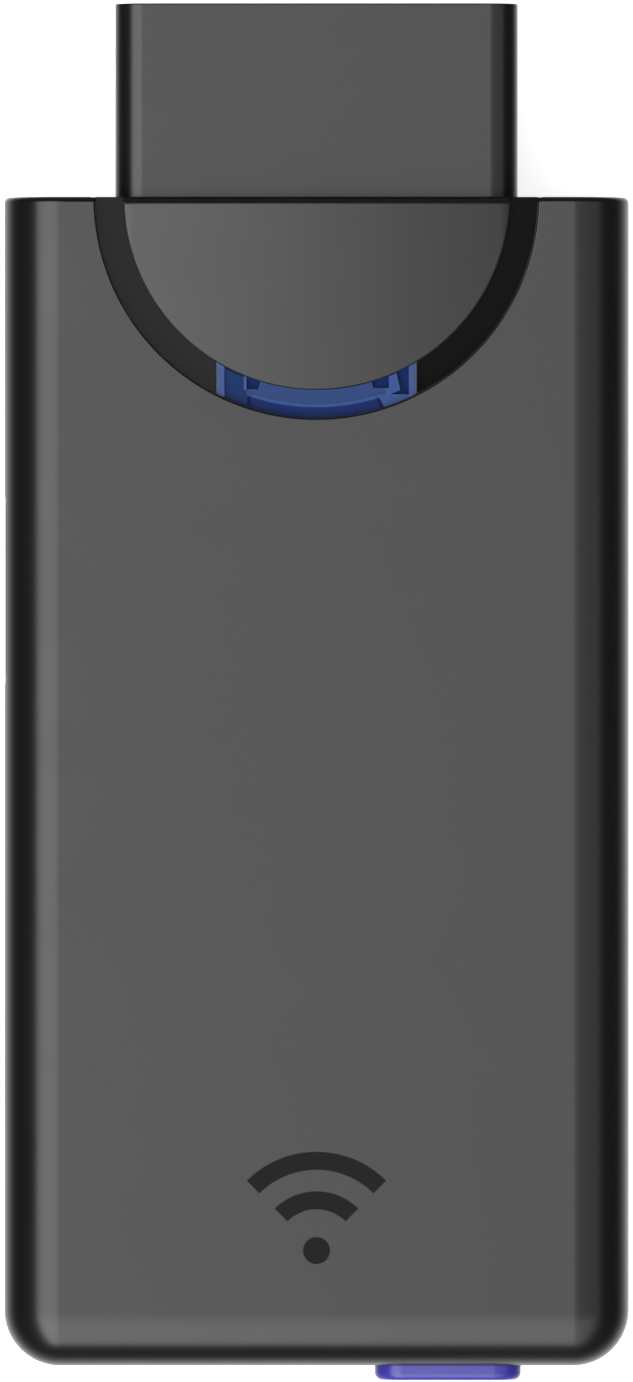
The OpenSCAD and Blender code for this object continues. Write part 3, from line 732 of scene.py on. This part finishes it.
def makeLightGuide():
    s = guideShape
    bar = addDrum("lightGuide", grooveR - runGap, (0, frontY, pocketFloor),
                  (0, frontY, guideHigh.z - s["floorDrop"]), 256)
    combine(bar, addDrum("core", padR + runGap, (0, frontY, pocketFloor - mm),
                         (0, frontY, topZ + mm), 256))
    combine(bar, addBox("clip", (-barHalf, frontY - grooveR - mm, pocketFloor - mm),
                        (barHalf, frontY - peg["fromFront"], topZ + mm)), "INTERSECT")
    # the bar's base shows only down in the steps and wells, so it takes the deepest blue as painted
    # shade
    bar.data.materials.append(finishes["guideShadeDeep"])
    thin = s["legInset"]
    leg = ringTool("leg", padR + thin, grooveR - thin, barHalf - thin, guideLow.z,
                   pocketFloor + 0.1 * mm)
    leg.data.materials.append(finishes["guideShadeDeep"])
    combine(bar, leg, "UNION")
    for part in [barPart(*step) for step in s["steps"]]:
        combine(bar, part, "UNION")
    # each well is lined with the deepest blue, painted shade
    for x0, x1, y0, y1, lean0, lean1 in s["wells"]:
        floor = guideHigh.z - s["floorDrop"] + s["wellFloor"]
        hollow = addBox("hollow", (x0, frontY - y1, floor), (x1, frontY - y0, guideHigh.z + mm))
        hollow.data.materials.append(finishes["guideShadeDeep"])
        leanSides(hollow, x0, x1, frontY - y1, (lean0, lean1))
        combine(bar, hollow)
    finishPiece(bar, "case", ["light_guide"], [])


makeLightGuide()

# plug
def makePlug():
    s = plugShape
    low = Vector((plugLow.x, frontY, middleZ - s["height"] / 2))
    high = Vector((plugHigh.x, plugHigh.y, middleZ + s["height"] / 2))
    plug = addBox("plugBlock", low, high)
    roundEdges(plug, lambda mid, way, bend: isAlong(way, 1) and near(mid.z, high.z),
               s["edgeRadius"], 14)
    roundEdges(plug, lambda mid, way, bend: isAlong(way, 1) and near(mid.z, low.z) and (
        near(abs(mid.x), high.x)), s["baseRadius"], 8)
    roundEdges(plug, lambda mid, way, bend: isSharp(bend) and near(mid.y, high.y),
               s["frontFillet"], 3)
    # a neck that the case grips and a flange behind the wall, both under the pocket's floor
    step, gap = caseTop["neckStep"], caseTop["holeGap"]
    under = pocketFloor - caseTop["pocketFloorThick"] - gap
    neck = addBox("neck", (low.x + step, plugLow.y, low.z + step),
                  (high.x - step, frontY + s["neckOver"], min(high.z - step, under)))
    flange = addBox("flange", (plugLow.x, plugLow.y, caseLow.z + caseTop["wall"] + gap),
                    (plugHigh.x, plugLow.y + s["flangeThick"], under))
    combine(plug, neck, "UNION")
    combine(plug, flange, "UNION")
    carrierLow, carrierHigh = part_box("contact_carrier")
    room = s["carrierRoom"]
    combine(plug, addBox("well", (carrierLow.x - room, plugLow.y - mm, carrierLow.z - room),
                         (carrierHigh.x + room, carrierHigh.y + room, carrierHigh.z + room)))
    for x in contactSpots():
        combine(plug, addDrum("hole", s["holeRadius"], (x, carrierHigh.y - mm, middleZ),
                              (x, high.y + mm, middleZ), 40))
    tidyMesh(plug)
    roundEdges(plug, lambda mid, way, bend: isSharp(bend) and near(mid.y, high.y) and (
        min(math.hypot(mid.x - x, mid.z - middleZ) for x in contactSpots())
        < s["holeRadius"] * 1.05), s["mouthFillet"], 2)
    finishPiece(plug, "case", ["plug_housing"], [finishes["plugPlastic"]])


def contactSpots():
    # nine places in three groups of three
    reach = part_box("plug_contacts")[1].x - plugShape["tubeRadius"]
    groupGap = plugShape["groupGap"]
    pitch = (reach - groupGap) / 4
    return [(i - 4) * pitch + (groupGap if i > 5 else -groupGap if i < 3 else 0)
            for i in range(9)]


makePlug()

# pairing button
def makeButton():
    s = buttonShape
    half, rimStart = s["width"] / 2, rearY + caseTop["wall"] + s["rimGap"]
    cap = addBox("pairButton", (buttonMid.x - half, buttonLow.y, buttonLow.z),
                 (buttonMid.x + half, rearY + s["capIn"], buttonHigh.z))
    roundEdges(cap, alongY, s["corner"], 10)
    roundEdges(cap, lambda mid, way, bend: isSharp(bend) and near(mid.y, buttonLow.y),
               s["topRound"], 6)
    # the rim behind the wall keeps the cap in, and the stem works the switch
    rim = addBox("rim", (buttonLow.x, rimStart, buttonLow.z),
                 (buttonHigh.x, rimStart + s["rimThick"], buttonHigh.z))
    roundEdges(rim, alongY, s["corner"], 6)
    combine(cap, rim, "UNION")
    stem = addBox("stem", (buttonMid.x - s["stemHalfWide"], rearY + s["stemIn"],
                           buttonMid.z - s["stemHalfTall"]),
                  (buttonMid.x + s["stemHalfWide"], buttonHigh.y,
                   buttonMid.z + s["stemHalfTall"]))
    combine(cap, stem, "UNION")
    finishPiece(cap, "button", ["pair_button"], [finishes["violetPlastic"]])


makeButton()

# mark
mark = markTool("wirelessMark", topZ - markShape["depth"] + tiny, topZ - markShape["gap"],
                -markShape["gap"])
finishPiece(mark, "case", ["wireless_mark"], [finishes["markInk"]])

# frame nodes that keep their own shape
nodeFinishes = {
    "contact_carrier": "blackMoulding", "plug_contacts": "goldPlate", "main_board": "solderMask",
    "board_screws": "brightZinc", "main_chip": "chipEpoxy", "memory_chip": "chipEpoxy",
    "crystal": "tinnedSheet", "radio_shield": "tinnedSheet", "voltage_regulator": "chipEpoxy",
    "capacitors": "ceramic", "resistors": "chipEpoxy", "antenna": "copperStrip",
    "status_leds": "lampResin", "usb_shell": "nickelSheet", "usb_tongue": "blackMoulding",
    "usb_contacts": "goldPlate", "switch_body": "blackMoulding", "switch_cover": "tinnedSheet",
    "switch_plunger": "nylon", "switch_legs": "brightZinc", "base_label": "labelFilm",
}
for nodeName, finishName in nodeFinishes.items():
    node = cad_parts[nodeName]
    node.data.materials.clear()
    node.data.materials.append(finishes[finishName])
print("frame nodes finished", len(nodeFinishes))

# floor, light and camera
studio = {
    "floorHalf": 1.2, "floorDrop": 0.02 * mm, "paper": (0.86, 0.86, 0.86, 1), "paperGlow": 0.8,
    "panelHeight": 2.5,
    "leftGlow": 4.15, "rightGlow": 0.8, "rearGlow": 0.85,
    "leftReach": 48, "rightReach": 58, "rearReach": 76, "frontReach": 15,  # degrees
    "rearHalfReach": 40, "rearStart": 18, "rearLower": 0.2,
    "dark": 0.06, "fromBelow": 1.9, "belowStart": -0.25,
    "ahead": 0.22, "aheadStart": 0.55, "aheadFull": 0.95, "backdrop": (0.95, 0.95, 0.95, 1),
    "cameraHeight": 1.6, "cameraForward": 0.07 * mm, "frameHeight": 83.95 * mm,
}


def makeFloor():
    selectNothing()
    bpy.ops.mesh.primitive_plane_add(size=2 * studio["floorHalf"],
                                     location=(0, 0, caseLow.z - studio["floorDrop"]))
    floor = bpy.context.active_object
    floor.name = "floor"
    paper = bpy.data.materials.new("paper")
    paper.use_nodes = True
    shader = paper.node_tree.nodes["Principled BSDF"]
    shader.inputs["Base Color"].default_value = studio["paper"]
    shader.inputs["Roughness"].default_value = 0.9
    shader.inputs["Specular IOR Level"].default_value = 0.1
    shader.inputs["Emission Color"].default_value = (1, 1, 1, 1)
    shader.inputs["Emission Strength"].default_value = studio["paperGlow"]
    floor.data.materials.append(paper)
    floor.visible_glossy = False


makeFloor()


def addPanel(name, x0, x1, y0, y1, glow, lower=0.0):
    # a soft box that faces straight down
    lamp = bpy.data.lights.new(name, "AREA")
    lamp.shape = "RECTANGLE"
    lamp.size, lamp.size_y = x1 - x0, y1 - y0
    lamp.energy = glow * math.pi * lamp.size * lamp.size_y
    panel = bpy.data.objects.new(name, lamp)
    panel.location = ((x0 + x1) / 2, (y0 + y1) / 2, studio["panelHeight"] - lower)
    panel.visible_camera = False
    bpy.context.scene.collection.objects.link(panel)


def panelEdge(degrees):
    # how far out a panel's edge is for the slope it is seen at
    return studio["panelHeight"] * math.tan(math.radians(degrees))


rearEdge, frontEdge = -panelEdge(studio["rearReach"]), panelEdge(studio["frontReach"])
addPanel("leftSoftBox", -panelEdge(studio["leftReach"]), 0, rearEdge, frontEdge,
         studio["leftGlow"])
addPanel("rightSoftBox", 0, panelEdge(studio["rightReach"]), rearEdge, frontEdge,
         studio["rightGlow"])
# lower than the other two, which would hide it from reflections at their own height
addPanel("rearSoftBox", -panelEdge(studio["rearHalfReach"]), panelEdge(studio["rearHalfReach"]),
         rearEdge, -panelEdge(studio["rearStart"]), studio["rearGlow"], studio["rearLower"])


def makeWorld():
    # dark above the horizon, paper white below it
    world = bpy.data.worlds.new("studio")
    bpy.context.scene.world = world
    world.use_nodes = True
    nodes, links = world.node_tree.nodes, world.node_tree.links
    nodes.clear()
    out = nodes.new("ShaderNodeOutputWorld")
    way = nodes.new("ShaderNodeTexCoord")
    split = nodes.new("ShaderNodeSeparateXYZ")
    ramp = nodes.new("ShaderNodeMapRange")
    ramp.interpolation_type = "SMOOTHSTEP"
    ramp.inputs["From Min"].default_value = studio["belowStart"]
    ramp.inputs["From Max"].default_value = -1.0
    ramp.inputs["To Min"].default_value = studio["dark"]
    ramp.inputs["To Max"].default_value = studio["fromBelow"]
    # a little light low down beyond the plug
    front = nodes.new("ShaderNodeMapRange")
    front.interpolation_type = "SMOOTHSTEP"
    front.inputs["From Min"].default_value = studio["aheadStart"]
    front.inputs["From Max"].default_value = studio["aheadFull"]
    front.inputs["To Max"].default_value = studio["ahead"]
    both = nodes.new("ShaderNodeMath")
    both.operation = "MAXIMUM"
    glow = nodes.new("ShaderNodeBackground")
    pale = nodes.new("ShaderNodeBackground")
    pale.inputs["Color"].default_value = studio["backdrop"]
    seen = nodes.new("ShaderNodeLightPath")
    mix = nodes.new("ShaderNodeMixShader")
    links.new(way.outputs["Generated"], split.inputs["Vector"])
    links.new(split.outputs["Z"], ramp.inputs["Value"])
    links.new(split.outputs["Y"], front.inputs["Value"])
    links.new(ramp.outputs["Result"], both.inputs[0])
    links.new(front.outputs["Result"], both.inputs[1])
    links.new(both.outputs["Value"], glow.inputs["Strength"])
    links.new(seen.outputs["Is Camera Ray"], mix.inputs["Fac"])
    links.new(glow.outputs["Background"], mix.inputs[1])
    links.new(pale.outputs["Background"], mix.inputs[2])
    links.new(mix.outputs["Shader"], out.inputs["Surface"])


makeWorld()

eye = bpy.data.cameras.new("camera")
eye.sensor_width = 36
eye.lens = eye.sensor_width * studio["cameraHeight"] / studio["frameHeight"]
eye.clip_end = 10
camera = bpy.data.objects.new("camera", eye)
camera.location = (0, studio["cameraForward"], topZ + studio["cameraHeight"])
bpy.context.scene.collection.objects.link(camera)
bpy.context.scene.camera = camera
bpy.context.scene.view_settings.view_transform = "Standard"
bpy.context.scene.view_settings.look = "None"
print("studio ready")
